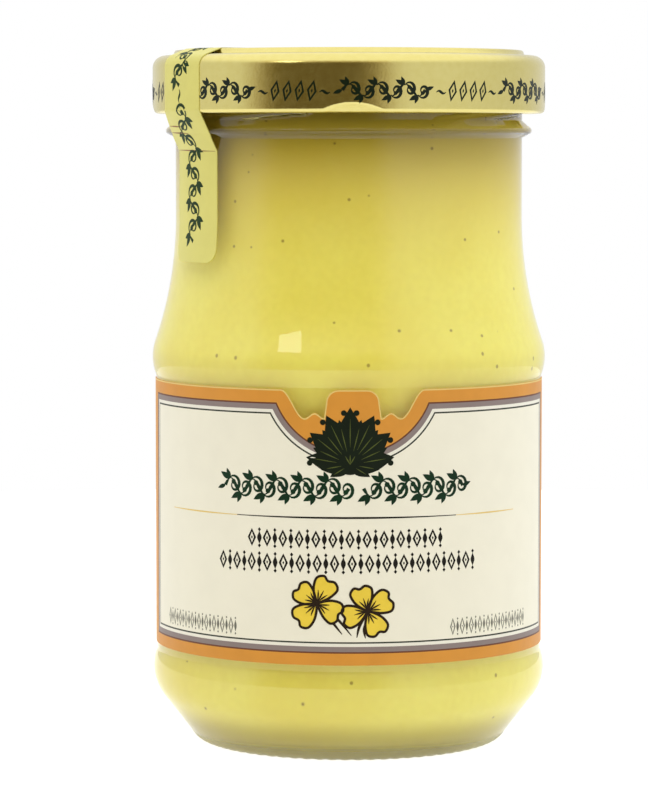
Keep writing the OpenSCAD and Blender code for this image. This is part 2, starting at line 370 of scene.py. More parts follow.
def finish(name, **sockets):
    """A material with a Principled shader; words in socket names are joined by _."""
    material = bpy.data.materials.new(name)
    material.use_nodes = True
    shader = material.node_tree.nodes["Principled BSDF"]
    for socket, value in sockets.items():
        plug(shader.inputs[socket.replace("_", " ")], value)
    place = step(material.node_tree, "ShaderNodeTexCoord", out="Object")
    return material, material.node_tree, shader, place


def cloud(nt, place, scale, detail=2.0, roughness=0.5):
    """Soft noise between 0 and 1 at so many blobs to the metre."""
    return step(nt, "ShaderNodeTexNoise", {"Vector": place, "Scale": scale,
                "Detail": detail, "Roughness": roughness}, out="Fac")


def between(nt, share, first, second):
    """A colour mixed from two by a share."""
    return step(nt, "ShaderNodeMix", {0: share, 6: first, 7: second}, out=2,
                data_type="RGBA")


def rough_skin(nt, shader, height, depth, strength=1.0):
    """Bump from a height of so many millimetres."""
    bump = step(nt, "ShaderNodeBump", {"Height": height, "Distance": depth * MM,
                                       "Strength": strength}, out="Normal")
    plug(shader.inputs["Normal"], bump)


def tone(red, green, blue):
    """A colour given the way a paint chart does, 0 to 255, as the linear one."""
    parts = [c / 255 for c in (red, green, blue)]
    return tuple(c / 12.92 if c <= 0.04045 else ((c + 0.055) / 1.055) ** 2.4
                 for c in parts) + (1.0,)


def shown_as(nt, shader, rays, other):
    """Shows another shader in this one's place to the named kinds of ray."""
    seen = Wire(shader.outputs[0])
    for ray in rays:
        seen = step(nt, "ShaderNodeMixShader", {
            0: step(nt, "ShaderNodeLightPath", out=ray), 1: seen, 2: other})
    plug(nt.nodes["Material Output"].inputs["Surface"], seen)


# %% Clear glass
clear_glass, nt, shader, place = finish(
    "clear_glass", Base_Color=(0.97, 0.985, 0.975, 1.0), Transmission_Weight=1.0, IOR=1.5)
waves = cloud(nt, place, 70.0, 1.0)
stippled = parts_of(nt, place)[2].ramp(2.4 * MM, 1.2 * MM) * 0.4
plug(shader.inputs["Roughness"], cloud(nt, place, 400.0) * 0.02 + stippled + 0.004)
rough_skin(nt, shader, waves, 0.5, 0.12)
open_way = step(nt, "ShaderNodeBsdfTransparent", {"Color": (0.96, 0.97, 0.95, 1.0)})
shown_as(nt, shader, ("Is Diffuse Ray", "Is Shadow Ray"), open_way)
print("finish:", clear_glass.name)

# %% Mustard
# Heights in millimetres between which the tone goes over to the painted shade at the neck,
# and to the painted shade round the bottom edge, from above and from below.
NECK_SHADE, EDGE_TOP, EDGE_FOOT = (72.0, 97.0), (7.8, 3.6), (3.04, 3.16)
CRUMBS = 420.0
mustard_paste, nt, shader, place = finish(
    "mustard_paste", Roughness=0.42, IOR=1.4, Subsurface_Weight=0.25,
    Subsurface_Radius=(1.0, 0.8, 0.25), Subsurface_Scale=1.2 * MM)
slow = cloud(nt, place, 38.0, 3.0).ramp(0.3, 0.7)
fine_grain = cloud(nt, place, 900.0, 3.0).ramp(0.25, 0.75)
smooth_paste = between(nt, slow, tone(244, 229, 98), tone(250, 240, 118))
height = parts_of(nt, place)[2]
# Painted shade: the mustard grows darker towards the neck, as in the shadow of the lid.
painted_neck_shade = height.ramp(*(z * MM for z in NECK_SHADE)) * 0.68
smooth_paste = between(nt, painted_neck_shade, smooth_paste, tone(196, 160, 22))
# Painted shade: the mustard is darker towards its bottom edge.
painted_foot_shade = (height.ramp(*(z * MM for z in EDGE_TOP))
          * height.ramp(*(z * MM for z in EDGE_FOOT)) * 0.5)
smooth_paste = between(nt, painted_foot_shade, smooth_paste, tone(150, 128, 36))
grainy = between(nt, fine_grain * 0.12, smooth_paste, tone(212, 192, 62))
crumbs, chance = (step(nt, "ShaderNodeTexVoronoi", {"Vector": place, "Scale": CRUMBS},
                       out=out) for out in ("Distance", "Color"))
few = parts_of(nt, chance)[0].math("GREATER_THAN", 0.8)
speck = crumbs.ramp(0.14, 0.07) * few * 0.6
plug(shader.inputs["Base Color"], between(nt, speck, grainy, tone(120, 82, 30)))
rough_skin(nt, shader, cloud(nt, place, 300.0, 4.0), 0.08)
print("finish:", mustard_paste.name)

# %% Gold lacquer on the lid
gold_lacquer, nt, shader, place = finish(
    "gold_lacquer", Metallic=1.0, Coat_Weight=0.12, Coat_Roughness=0.08, Coat_IOR=1.5)
worn = cloud(nt, place, 900.0, 4.0)
plug(shader.inputs["Base Color"],
     between(nt, worn.ramp(0.2, 0.8) * 0.5, tone(212, 199, 122), tone(220, 209, 138)))
plug(shader.inputs["Roughness"], cloud(nt, place, 900.0, 3.0) * 0.08 + 0.18)
rough_skin(nt, shader, cloud(nt, place, 2500.0, 2.0), 0.012)
print("finish:", gold_lacquer.name)

# %% [markdown]
# ## Finishes: paper and inks
# The label and the strip are coated paper, and their print is ink on it. One function
# makes them all: a colour with a faint mottle, fine fibre in the bump and a soft satin
# coat, which the deepest inks go without. Separate inks, rather than one picture, keep
# every edge of the print sharp.

# %% Paper and inks


def printed(name, colour, mottle=0.93, roughness=0.5, coat=0.06, gloss=0.3):
    """A satin printed surface in one colour, with a faint mottle and paper fibre."""
    material, nt, shader, place = finish(
        name, Coat_Weight=coat, Coat_Roughness=0.3, Specular_IOR_Level=gloss)
    base = tone(*colour)
    deeper = tuple(c * mottle for c in base[:3]) + (1.0,)
    share = cloud(nt, place, 260.0, 4.0).ramp(0.3, 0.75)
    plug(shader.inputs["Base Color"], between(nt, share, base, deeper))
    plug(shader.inputs["Roughness"], cloud(nt, place, 700.0) * 0.12 + (roughness - 0.06))
    rough_skin(nt, shader, cloud(nt, place, 2600.0, 3.0, 0.6), 0.01)
    return material


DEEP = {"mottle": 0.7, "coat": 0.0, "gloss": 0.15}
orange_border = printed("orange_border", (220, 150, 54))
maroon_line = printed("maroon_line", (104, 58, 32))
mauve_line = printed("mauve_line", (140, 126, 124))
white_line = printed("white_line", (240, 238, 226), 0.97)
dark_line = printed("dark_line", (44, 50, 38))
cream_field = printed("cream_field", (244, 241, 224), 0.975)
gold_hairline = printed("gold_hairline", (232, 204, 120))
leaf_ink = printed("leaf_ink", (14, 26, 8), **DEEP)
leaf_light = printed("leaf_light", (78, 88, 30), 0.8, coat=0.0)
vine_ink = printed("vine_ink", (8, 48, 24), **DEEP)
black_ink = printed("black_ink", (24, 20, 14), **DEEP)
grey_ink = printed("grey_ink", (112, 112, 100), 0.85)
petal_ink = printed("petal_ink", (242, 212, 68))
outline_ink = printed("outline_ink", (40, 26, 8), **DEEP)
seal_paper = printed("seal_paper", (226, 220, 122), 0.95, 0.45)
seal_green = printed("seal_green", (24, 56, 12), **DEEP)
lid_green = printed("lid_green", (14, 30, 10), 0.7, 0.35, coat=0.0, gloss=0.2)
print("papers and inks ready")

# %% [markdown]
# ## Turning an outline round the axis
# Glass, mustard and lid are all turned shapes, so one tree makes them: a grid has one row
# for each point of the outline and one column for each step round, every corner takes its
# radius and height from its outline point, and merging closes the seam and the poles.
# Spin or a Screw modifier would do the same, but here the later steps can read the grid.

# %% The turning tree
STEPS_ROUND, SEAM = 432, 0.002


def turning_tree(material):
    nt, size = new_tree("Turn an outline", Steps="Int")
    outline, steps = size["Geometry"], size["Steps"]
    rows = step(nt, "GeometryNodeAttributeDomainSize", {"Geometry": outline},
                out="Point Count", component="MESH")
    grid = step(nt, "GeometryNodeMeshGrid", {
        "Size X": 1.0, "Size Y": 1.0, "Vertices X": steps + 1, "Vertices Y": rows})
    number = step(nt, "GeometryNodeInputIndex")
    column = (number / rows + 0.00001).math("FLOOR")
    row = number - column * rows
    spot = step(nt, "GeometryNodeSampleIndex", {
        "Geometry": outline, "Value": step(nt, "GeometryNodeInputPosition"),
        "Index": row.math("ROUND")}, data_type="FLOAT_VECTOR", domain="POINT")
    radius, _, height = parts_of(nt, spot)
    flow = bent_round(nt, grid, radius, column / steps * math.tau, height)
    flow = step(nt, "GeometryNodeMergeByDistance", {
        "Geometry": flow, "Distance": SEAM * MM})
    flow = step(nt, "GeometryNodeSetShadeSmooth", {"Geometry": flow})
    return end_tree(nt, flow, [material])


def turned(name, outline, material):
    """A closed turned piece in a material, its outline given from axis to axis."""
    piece = new_piece(name, [(r, 0.0, z) for r, z in outline])
    face_out(grow(piece, turning_tree(material), Steps=STEPS_ROUND))
    print(name, len(piece.data.polygons), "faces,", round(volume_of(piece.data), 2), "cm3")
    return piece


glass = turned("glass_jar", glass_outline, clear_glass)

# %% [markdown]
# ## Thread runs and the knurled foot
# Four short raised threads on the neck hold the lid's lugs, and fine notches round the
# foot help the jar along a filling line. Both follow a rule in the angle round the jar, so
# a tree moves the corners of the turned glass. Modelling them as extra pieces would leave
# glass inside glass, which shows as false inner faces.

# %% Raise the threads, notch the foot
THREAD_R, THREAD_HALF, THREAD_TURN = 0.7, 25.0, 52.0
THREAD_LOW, THREAD_TILT = 0.45, 5.0
NOTCHES, NOTCH_DEEP = 72, 0.1


def angle_round(x, y):
    """Angle round the jar in degrees, from -Y towards +X."""
    return x.math("ARCTAN2", y * -1.0) * math.degrees(1.0)


def from_nearest(turn, first=0.0):
    """Angle from the nearest of four places a quarter turn apart, in degrees."""
    return (turn - (first - 45.0)).math("FLOORED_MODULO", 90.0) - 45.0


def glass_detail_tree():
    nt, size = new_tree("Raise threads and notch the foot", Notches="Float",
                        Depth="Float", Thread="Float")
    x, y, z = parts_of(nt, step(nt, "GeometryNodeInputPosition"))
    radius = (x * x + y * y).math("SQRT")
    turn = angle_round(x, y)
    off = from_nearest(turn, THREAD_TURN)
    middle = ((off * math.radians(1.0)).math("SINE")
              * (NECK_R * math.sin(math.radians(THREAD_TILT)) * MM)
              + (HEM_Z - THREAD_LOW) * MM)
    fade = off.math("ABSOLUTE").ramp(THREAD_HALF + 1.0, THREAD_HALF - 4.0)
    away = z - middle
    round_part = (size["Thread"] * size["Thread"] - away * away).math("MAXIMUM", 0.0)
    raised = (round_part.math("SQRT") + 0.2 * MM) * fade + NECK_R * MM
    near = (round_part.math("GREATER_THAN", 0.0)
            * radius.math("GREATER_THAN", (NECK_R - 0.3) * MM)
            * z.math("GREATER_THAN", (BEAD_Z + 1.4) * MM)
            * z.math("LESS_THAN", (RIM_Z - 1.5) * MM))
    grow_by = (raised / radius).math("MAXIMUM", 1.0)
    factor = (grow_by - 1.0) * near + 1.0
    notch = ((turn * math.radians(1.0) * size["Notches"]).math("COSINE") * 0.5 + 0.5)
    at_foot = (z.ramp(0.9 * MM, 0.0) * radius.math("GREATER_THAN", (FOOT_IN - 0.9) * MM))
    lift = notch * size["Depth"] * at_foot
    flow = moved_to(nt, size["Geometry"], x * factor, y * factor, z + lift)
    return end_tree(nt, flow, [clear_glass])


grow(glass, glass_detail_tree(), Notches=float(NOTCHES), Depth=NOTCH_DEEP * MM,
     Thread=THREAD_R * MM)
print("glass", round(volume_of(glass.data), 2), "cm3 with threads and notches")

# %% [markdown]
# ## The mustard
# It fills the jar to just under the rim. It reaches a little way into the glass wall, so
# that no film of air shows between the two, as it would with two touching surfaces.

# %% Turn the mustard
INTO_WALL = 0.3


def swollen(path, by):
    """The path moved sideways by that much, away from the inside of the jar."""
    out = []
    for i, (r, z) in enumerate(path):
        a, b = path[max(i - 1, 0)], path[min(i + 1, len(path) - 1)]
        length = math.dist(a, b)
        out.append((max(r + by * (b[1] - a[1]) / length, 0.0),
                    z - by * (b[0] - a[0]) / length))
    return out


paste_side = swollen(inside + [(BORE_R, FILL_Z)], INTO_WALL)
paste_side[0] = (0.0, paste_side[0][1])
paste_side[-1] = (BORE_R + INTO_WALL, FILL_Z)
mustard = turned("mustard_fill", paste_side + fine([(BORE_R, FILL_Z), (0.0, FILL_Z)], 3.0),
                 mustard_paste)

# %% [markdown]
# ## The lid
# A twist-off lid is pressed from thin sheet: a raised panel, a ledge, a rounded shoulder,
# a straight skirt and a curled hem that is squeezed inwards in four places to make lugs.
# The turned shape comes first. Then a tree presses the lugs: each is the mark of a large
# ball, so a corner of the mesh moves in to the ball's surface where the ball reaches it.

# %% Turn the lid and press its lugs
SHEET, LID_ROUND, CURL, PANEL_STEP = 0.25, 1.9, 0.7, 0.8
LUG_IN, LUG_H, LUG_BALL, LUG_METAL = 1.3, 1.5, 20.0, 0.65
PANEL_R, LEDGE_Z = NECK_R + 0.05, LID_TOP - PANEL_STEP


def lid_edge(t):
    """Side view of the lid, t inwards from its outside, from the skirt to the axis."""
    return (arc(LID_R - LID_ROUND, LEDGE_Z - LID_ROUND, LID_ROUND - t, 0, 90, 14)
            + [(PANEL_R + 0.42, LEDGE_Z - t),
               (PANEL_R + 0.25 - t * 0.7, LEDGE_Z - t + 0.1),
               (PANEL_R + 0.1 - t * 0.7, LID_TOP - t - 0.2),
               (PANEL_R - 0.02 - t * 0.7, LID_TOP - t - 0.04),
               (PANEL_R - 0.15 - t * 0.7, LID_TOP - t)]
            + [(PANEL_R * k / 6, LID_TOP - t) for k in (5, 4, 3, 2, 1, 0)])


hem = (LID_R - CURL, HEM_Z + CURL)
skirt = fine([(LID_R, HEM_Z + CURL), (LID_R, HEM_Z + 2.6)], 0.16) + fine(
    [(LID_R, HEM_Z + 2.6), (LID_R, LEDGE_Z - LID_ROUND)], 0.7)[1:]
skirt_in = fine([(LID_R - SHEET, HEM_Z + 2 * CURL + 0.4), (LID_R - SHEET, HEM_Z + 2.6)],
                0.2)
lid_outline = (lid_edge(0)[::-1] + skirt[::-1][1:] + arc(*hem, CURL, 0, -90, 9)[1:]
               + arc(*hem, CURL, 270, 125, 8)[1:] + skirt_in + lid_edge(SHEET))
lid = turned("lid_gold", lid_outline, gold_lacquer)


def lug_tree():
    nt, size = new_tree("Press the lugs", Ball="Float", Metal="Float")
    x, y, z = parts_of(nt, step(nt, "GeometryNodeInputPosition"))
    radius = (x * x + y * y).math("SQRT")
    fold = from_nearest(angle_round(x, y)) * math.radians(1.0)
    span = math.hypot(LUG_IN, LUG_H)
    reach = math.sqrt(LUG_BALL ** 2 - (span / 2) ** 2) / span
    far = (LID_R - LUG_IN / 2 + reach * LUG_H) * MM
    sink = reach * LUG_IN - LUG_H / 2
    inner = ((radius * -1.0 + LID_R * MM) / (2 * CURL * MM)).ramp(0.1, 0.9)
    ball = size["Ball"] + size["Metal"] * inner
    height = z - (HEM_Z - sink) * MM
    aside = fold.math("SINE") * far
    left = ball * ball - height * height - aside * aside
    wall = fold.math("COSINE") * far - left.math("MAXIMUM", 0.0).math("SQRT")
    pressed = radius.math("MINIMUM", wall)
    reached = left.math("GREATER_THAN", 0.0) * z.math("LESS_THAN", (HEM_Z + 2.5) * MM)
    factor = (pressed / radius.math("MAXIMUM", MM) - 1.0) * reached + 1.0
    flow = moved_to(nt, size["Geometry"], x * factor, y * factor, z)
    return end_tree(nt, flow, [gold_lacquer])


grow(lid, lug_tree(), Ball=LUG_BALL * MM, Metal=LUG_METAL * MM)
print("lid", round(volume_of(lid.data), 2), "cm3 with its lugs")

# %% [markdown]
# ## Wrapping flat work round the jar
# The label is printed flat, die-cut, and then wrapped. The same is done here: flat shapes
# are drawn with x along the paper and z up, one tree repeats them at a pitch, gives them
# the thickness of ink or paper, and bends them round the jar. Each face carries a number
# for its ink and a lift for how far it stands out, which the tree reads.

# %% The wrapping tree


def wrapping_tree(name, inks, bend=True):
    nt, size = new_tree(name, Count="Int", Pitch="Float", Radius="Float", Turn="Float")
    shift = step(nt, "ShaderNodeCombineXYZ", {"X": size["Pitch"]})
    places = step(nt, "GeometryNodeMeshLine", {"Count": size["Count"], "Offset": shift})
    flow = step(nt, "GeometryNodeInstanceOnPoints", {
        "Points": places, "Instance": size["Geometry"]})
    flow = step(nt, "GeometryNodeRealizeInstances", {"Geometry": flow})
    out_way = step(nt, "ShaderNodeCombineXYZ", {"Y": -1.0})
    lift = step(nt, "GeometryNodeInputNamedAttribute", {"Name": "lift"},
                data_type="FLOAT")
    front = step(nt, "GeometryNodeExtrudeMesh", {
        "Mesh": flow, "Offset": out_way, "Offset Scale": lift, "Individual": False})
    back = step(nt, "GeometryNodeFlipFaces", {"Mesh": flow})
    both = step(nt, "GeometryNodeJoinGeometry", {"Geometry": back})
    nt.links.new(front.socket, both.socket.node.inputs[0])
    flow = step(nt, "GeometryNodeMergeByDistance", {
        "Geometry": both, "Distance": SEAM / 10 * MM})
    if bend:
        x, y, z = parts_of(nt, step(nt, "GeometryNodeInputPosition"))
        turn = x / size["Radius"] + size["Turn"]
        flow = bent_round(nt, flow, size["Radius"] - y, turn, z)
    return end_tree(nt, flow, inks)


def tag(mesh, inks, lifts):
    """Gives each face its ink number and its lift in millimetres."""
    for name, kind, values in (("ink", "INT", inks), ("lift", "FLOAT", lifts)):
        layer = mesh.attributes.new(name, kind, "FACE")
        layer.data.foreach_set("value", np.array(
            values, np.int32 if kind == "INT" else np.float32))


def wrap(piece, inks, radius, count=1, pitch=0.0, turn=0.0):
    """Repeats, thickens and wraps a flat piece: millimetres, and a turn in degrees."""
    tree = wrapping_tree("Wrap " + piece.name, inks)
    return grow(piece, tree, Count=count, Pitch=pitch * MM, Radius=radius * MM,
                Turn=math.radians(turn))


def thicken(piece, inks):
    """Only gives a flat piece its thickness, for work that is laid on another shape."""
    return grow(piece, wrapping_tree("Thicken " + piece.name, inks, bend=False), Count=1)


print("wrapping tree ready")

# %% [markdown]
# ## The paper label and its frame
# The label goes almost once round. Its top edge is cut in a straight line with a dip and a
# rounded tab in the middle. A frame of thin lines runs inside the orange border and swings
# down in a bowl below the dip, and two plain framed panels are on the back.
# The paper is one sheet of cells whose rows and columns follow the frame's lines, so each
# line is a row of cells with its own ink and keeps a sharp edge.

# %% Lay out the label
PAPER, INTO_GLASS = 0.12, 0.01
LABEL_Z0, LABEL_Z1 = label_low.z, label_high.z
PAPER_R = GLASS_R + PAPER
HALF_LABEL = math.radians(172.0) * PAPER_R
FRAME_STEPS = (0.0, 0.24, 1.02, 1.5, 1.74)
FRAME_HALF, FRAME_TOP, FRAME_LOW = 41.7, LABEL_Z1 - 2.0, LABEL_Z0 + 1.8
BOWL_R, BOWL_CORNER = 12.7, 11.6
BOWL_Z = FRAME_TOP + math.sqrt(BOWL_R ** 2 - BOWL_CORNER ** 2)
BACK_PANEL = (46.8, 84.4)
DIP_SIDE, DIP_FLOOR, DIP_DEEP, DIP_BUMP = 3.76, 3.0, 4.27, 0.8
TAB_HALF, TAB_FLARE, TAB_ROUND = 3.9, 0.34, 1.8
TAB_FOOT = TAB_HALF + TAB_FLARE
DIP_LOW = TAB_FOOT + DIP_FLOOR
NARROWEST, WIDEST = 0.012, 0.62

cut_edge = (
    arc(TAB_HALF - TAB_ROUND, LABEL_Z1 - TAB_ROUND, TAB_ROUND, 90, 0, 8)
    + [(TAB_FOOT, LABEL_Z1 - DIP_DEEP)]
    + [(TAB_FOOT + DIP_FLOOR * i / 12, LABEL_Z1 - DIP_DEEP
        + DIP_BUMP * math.sin(math.pi * i / 12) ** 2) for i in range(1, 12)]
    + [(DIP_LOW + DIP_SIDE * i / 12, LABEL_Z1 - DIP_DEEP
        * (1 + math.cos(math.pi * i / 12)) / 2) for i in range(13)])


def cut_height(s):
    """Height of the label's top edge at s along the paper."""
    return float(np.interp(abs(s), [p[0] for p in cut_edge], [p[1] for p in cut_edge]))


def frame_height(s, inset):
    """Height of a frame line at s, that far inside the frame's outer edge."""
    line, bowl = FRAME_TOP - inset, BOWL_R + inset
    if abs(s) >= bowl:
        return line
    return min(line, BOWL_Z - math.sqrt(bowl ** 2 - s ** 2))


def panel_inset(s):
    """How far s is inside the front or a back panel; below 0 in the border."""
    low, high = BACK_PANEL
    return max(FRAME_HALF - abs(s), min(abs(s) - low, high - abs(s)))


def label_columns():
    """Places along the paper where a column of cells starts."""
    marks = [p[0] for p in cut_edge] + [float(v) for v in np.arange(0, HALF_LABEL, WIDEST)]
    for inset in FRAME_STEPS:
        corner = math.sqrt((BOWL_R + inset) ** 2 - (BOWL_Z - FRAME_TOP + inset) ** 2)
        marks += [FRAME_HALF - inset, BACK_PANEL[0] + inset, BACK_PANEL[1] - inset, corner]
    marks = sorted(set(round(m, 4) for m in marks) | {HALF_LABEL})
    keep = [marks[0]]
    for m in marks[1:]:
        if m - keep[-1] > NARROWEST:
            keep.append(m)
    return [-m for m in keep[:0:-1]] + keep


columns = label_columns()
points, cells, inks = [], [], []
for s in columns:
    heights = ([LABEL_Z0] + [FRAME_LOW + i for i in FRAME_STEPS]
               + [frame_height(s, i) for i in FRAME_STEPS[::-1]] + [cut_height(s)])
    points += [(s, 0.0, h) for h in heights]
rows = len(FRAME_STEPS) * 2 + 2
row_band = [*range(len(FRAME_STEPS)), len(FRAME_STEPS), *range(len(FRAME_STEPS))[::-1]]
for c in range(len(columns) - 1):
    inset = panel_inset((columns[c] + columns[c + 1]) / 2)
    column_band = sum(inset > i for i in FRAME_STEPS)
    for r in range(rows - 1):
        a = c * rows + r
        cells.append((a, a + rows, a + rows + 1, a + 1))
        inks.append(min(row_band[r], column_band))
label = new_piece("label_paper", points, cells)
tag(label.data, inks, [(PAPER + INTO_GLASS) * MM] * len(cells))
wrap(label, [orange_border, maroon_line, mauve_line, white_line, dark_line, cream_field],
     GLASS_R - INTO_GLASS)
print("label:", len(columns), "columns,", len(label.data.polygons), "faces,",
      round(volume_of(label.data), 2), "cm3")

# %% [markdown]
# ## Drawing with ink
# The rest of the print is drawn from three kinds of patch: a ribbon for a pen stroke that
# can swell and thin, a fan for a filled shape, and a ring for an open one. Strokes follow
# a smooth curve through a few guide points. Everything is kept small enough to bend well.
# Ink starts a little under the surface it is printed on, and each layer stands out more.

# %% Patches of ink
INK_SUNK, INK_THICK, INK_LAYER = 0.006, 0.012, 0.008


def smooth(guides, steps=8, closed=False):
    """A smooth curve through guide points (Catmull-Rom)."""
    n = len(guides)
    out = []
    for i in range(n if closed else n - 1):
        near = (k % n if closed else min(max(k, 0), n - 1) for k in range(i - 1, i + 3))
        a, b, c, d = (np.array(guides[k], float) for k in near)
        bend, twist = 2 * a - 5 * b + 4 * c - d, 3 * b - a - 3 * c + d
        for t in (k / steps for k in range(steps)):
            out.append(tuple(0.5 * (2 * b + (c - a) * t + bend * t ** 2 + twist * t ** 3)))
    return out if closed else out + [tuple(guides[-1])]


class Print:
    """Collects flat patches of ink: x along the paper, z up, in millimetres."""

    def __init__(self):
        self.points, self.faces, self.inks, self.lifts = [], [], [], []

    def add(self, points, faces, ink, layer):
        start = len(self.points)
        self.points += [(float(x), 0.0, float(z)) for x, z in points]
        for face in faces:
            ring = [points[i] for i in face]
            area = sum(a[0] * b[1] - b[0] * a[1]
                       for a, b in zip(ring, ring[1:] + ring[:1]))
            face = face if area > 0 else face[::-1]
            self.faces.append(tuple(start + i for i in face))
        self.inks += [ink] * len(faces)
        self.lifts += [(INK_THICK + INK_LAYER * layer) * MM] * len(faces)

    def ribbon(self, path, width, ink, layer=1, closed=False):
        """A stroke along a path; width is a number, or a function of 0 to 1 along it."""
        n, path = len(path), [np.array(p, float) for p in path]
        both = []
        for i, p in enumerate(path):
            before = path[i - 1] if closed or i else p
            after = path[(i + 1) % n] if closed or i < n - 1 else p
            way = (after - before) / max(np.linalg.norm(after - before), 1e-6)
            w = width(i / (n - 1)) if callable(width) else width
            both += [p + (-way[1] * w / 2, way[0] * w / 2),
                     p - (-way[1] * w / 2, way[0] * w / 2)]
        m = len(both)
        faces = [(2 * i, 2 * i + 1, (2 * i + 3) % m, (2 * i + 2) % m)
                 for i in range(n if closed else n - 1)]
        self.add(both, faces, ink, layer)

    def fan(self, middle, outline, ink, layer=1, rings=1):
        """A filled shape whose whole outline can be seen from its middle."""
        n, centre = len(outline), np.array(middle, float)
        points = [centre] + [centre + (np.array(p) - centre) * k / rings
                             for k in range(1, rings + 1) for p in outline]
        faces = [(0, 1 + i, 1 + (i + 1) % n) for i in range(n)]
        for k in range(rings - 1):
            a = 1 + k * n
            faces += [(a + i, a + n + i, a + n + (i + 1) % n, a + (i + 1) % n)
                      for i in range(n)]
        self.add(points, faces, ink, layer)

    def ring(self, outer, inner, ink, layer=1):
        """An open shape between two outlines with as many points."""
        n = len(outer)
        faces = [(i, (i + 1) % n, n + (i + 1) % n, n + i) for i in range(n)]
        self.add(list(outer) + list(inner), faces, ink, layer)

    def piece(self, name):
        piece = new_piece(name, self.points, self.faces)
        tag(piece.data, self.inks, self.lifts)
        return piece


def swell(thin, thick):
    """A stroke width that grows from thin to thick in the middle and back."""
    return lambda t: thin + (thick - thin) * math.sin(math.pi * t) ** 1.5


def placed(shape, at, size=1.0, turn=0.0):
    """A shape scaled, turned by degrees and put at a place."""
    c, s = math.cos(math.radians(turn)) * size, math.sin(math.radians(turn)) * size
    return [(at[0] + x * c - z * s, at[1] + x * s + z * c) for x, z in shape]


def diamond(at, wide, tall):
    return [(at[0] - wide / 2, at[1]), (at[0], at[1] - tall / 2),
            (at[0] + wide / 2, at[1]), (at[0], at[1] + tall / 2)]


def leaf_shape(steps=9):
    """A pointed leaf from 0 to 1 along x."""
    side = [(i / steps, 0.2 * math.sin(math.pi * (i / steps) ** 0.8))
            for i in range(steps + 1)]
    return side + [(x, -z) for x, z in side[-2:0:-1]]


def draw_leaf(art, foot, length, turn, ink, layer=1, broad=1.0, rings=1):
    """A leaf of that length from its foot, turned by degrees."""
    shape = placed([(x, z * broad) for x, z in leaf_shape()], foot, length, turn)
    art.fan(placed([(0.5, 0.0)], foot, length, turn)[0], shape, ink, layer, rings)


def draw_dash(art, start, length, width, ink, layer=1):
    """A dash with one wave in it."""
    wave = [(start[0] + length * i / 10, start[1] + 0.2 * math.sin(math.tau * i / 10))
            for i in range(11)]
    art.ribbon(wave, width, ink, layer)


print("pen, fan and ring ready")

# %% [markdown]
# ## The sprig, the blossoms and the running vine
# The label's front carries a dark sprig of leaves in the bowl of the frame, a green
# running vine in two lengths below it, a thin rule, and two yellow blossoms at the foot.
# They are plain ornaments of the kind a printer has in the drawer, and stand where such a
# label has its words and arms.

# %% Draw the front's ornaments
GREEN_DARK, GREEN_LIGHT, VINE, BLACK, YELLOW, OUTLINE, GOLD = range(7)
front = Print()


def draw_sprig(art, at, size):
    """A tuft of pointed leaves that spread from one foot, with seed heads between them."""
    for k, (turn, length) in enumerate((
            (90, 10.7), (76, 8.6), (104, 8.6), (64, 10.2), (116, 10.2), (51, 8.3),
            (129, 8.3), (38, 9.6), (142, 9.6), (24, 7.6), (156, 7.6), (9, 8.4),
            (171, 8.4), (-10, 5.6), (190, 5.6), (-32, 4.4), (212, 4.4))):
        draw_leaf(art, at, length * size, turn, GREEN_DARK, 1 + k % 3, 1.25, 2)
        vein = placed([(0.3 + 0.1 * i, 0.0) for i in range(6)], at, length * size, turn)
        art.ribbon(vein, swell(0.03, 0.16), GREEN_LIGHT, 5)
    for turn, reach in ((83, 9.7), (97, 9.7), (57, 9.4), (123, 9.4), (31, 8.8), (149, 8.8),
                        (2, 7.6), (178, 7.6)):
        seed = placed([(reach, 0.0)], at, size, turn)[0]
        art.fan(seed, arc(*seed, 0.55 * size, 0, 324, 9), GREEN_DARK, 4)
    foot = arc(*at, 2.3 * size, 0, 345, 23)
    art.fan(at, [(x, at[1] + (z - at[1]) * 0.85) for x, z in foot], GREEN_DARK, 4, 2)
    for turn in (60, 90, 120):
        tip = placed([(0.0, 0.0), (0.9, 0.0), (1.8, 0.0)], at, size, turn)
        art.ribbon(tip, swell(0.05, 0.2), GREEN_LIGHT, 5)


def draw_vine(art, start, pitch, count, tall, ink, up=True):
    """A running vine: one wave of stem for each unit, with curls, leaves and seeds."""
    x0, z0 = start
    way, n = (1 if up else -1), 14 * count
    stem = [(x0 + pitch * count * i / n,
             z0 + way * tall * 0.2 * math.sin(math.tau * count * i / n))
            for i in range(n + 1)]
    art.ribbon(stem, lambda t: 0.16 + 0.42 * abs(math.cos(math.tau * count * t)) ** 3,
               ink, 2)
    for k in range(count):
        for half, side in ((0.25, way), (0.75, -way)):
            x, z = x0 + pitch * (k + half), z0 + side * tall * 0.2
            curl = []
            for i in range(20):
                a = math.radians(150 - 21 * i)
                q = tall * 0.27 * (1 - i / 27)
                curl.append((x + pitch * 0.17 + q * math.cos(a) * 0.8,
                             z - side * (tall * 0.17 - q * math.sin(a) * 0.95)))
            art.ribbon(curl, lambda t: 0.12 + 0.38 * math.sin(math.pi * t ** 0.7) ** 2,
                       ink, 3)
            art.fan(curl[-1], arc(*curl[-1], 0.07 * tall, 0, 320, 8), ink, 4)
            for turn, length in ((152, 0.36), (112, 0.3)):
                foot = (x - pitch * 0.03, z - side * 0.02 * tall)
                draw_leaf(art, foot, tall * length, side * turn, ink, broad=1.1)


PETAL = smooth([(0.04, 0.0), (0.2, 0.2), (0.5, 0.4), (0.86, 0.46), (1.05, 0.24),
                (0.95, 0.03), (1.02, -0.22), (0.84, -0.44), (0.5, -0.36), (0.2, -0.16)],
               4, closed=True)


